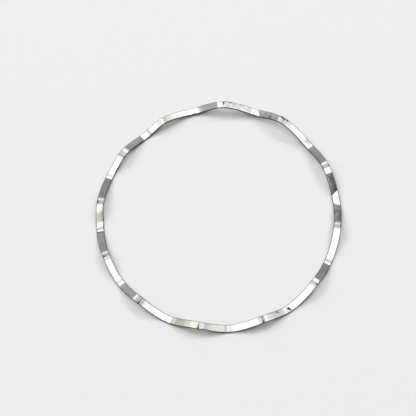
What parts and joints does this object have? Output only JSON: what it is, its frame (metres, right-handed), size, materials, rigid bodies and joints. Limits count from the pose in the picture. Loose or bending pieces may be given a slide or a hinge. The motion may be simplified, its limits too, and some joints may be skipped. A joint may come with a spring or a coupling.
{
  "type": "watch movement spacer ring",
  "caption": "Thin round ring of bright steel sheet, pressed into waves, that takes up the play between a watch movement and its case.",
  "frame": {"origin": "centre of the ring, on the plane that its troughs rest on", "axes": "+Z along the ring's axis, from the troughs to the crests; +X and +Y across the ring, +Y towards the top of the reference picture"},
  "size_m": [0.03, 0.03, 0.0014],
  "materials": {
    "bright_steel": "bright rolled steel with fine lines along the ring, and faint grey and straw tints on some slopes"
  },
  "bodies": {
    "root": {"spacer_ring": "bright_steel"}
  },
  "joints": []
}
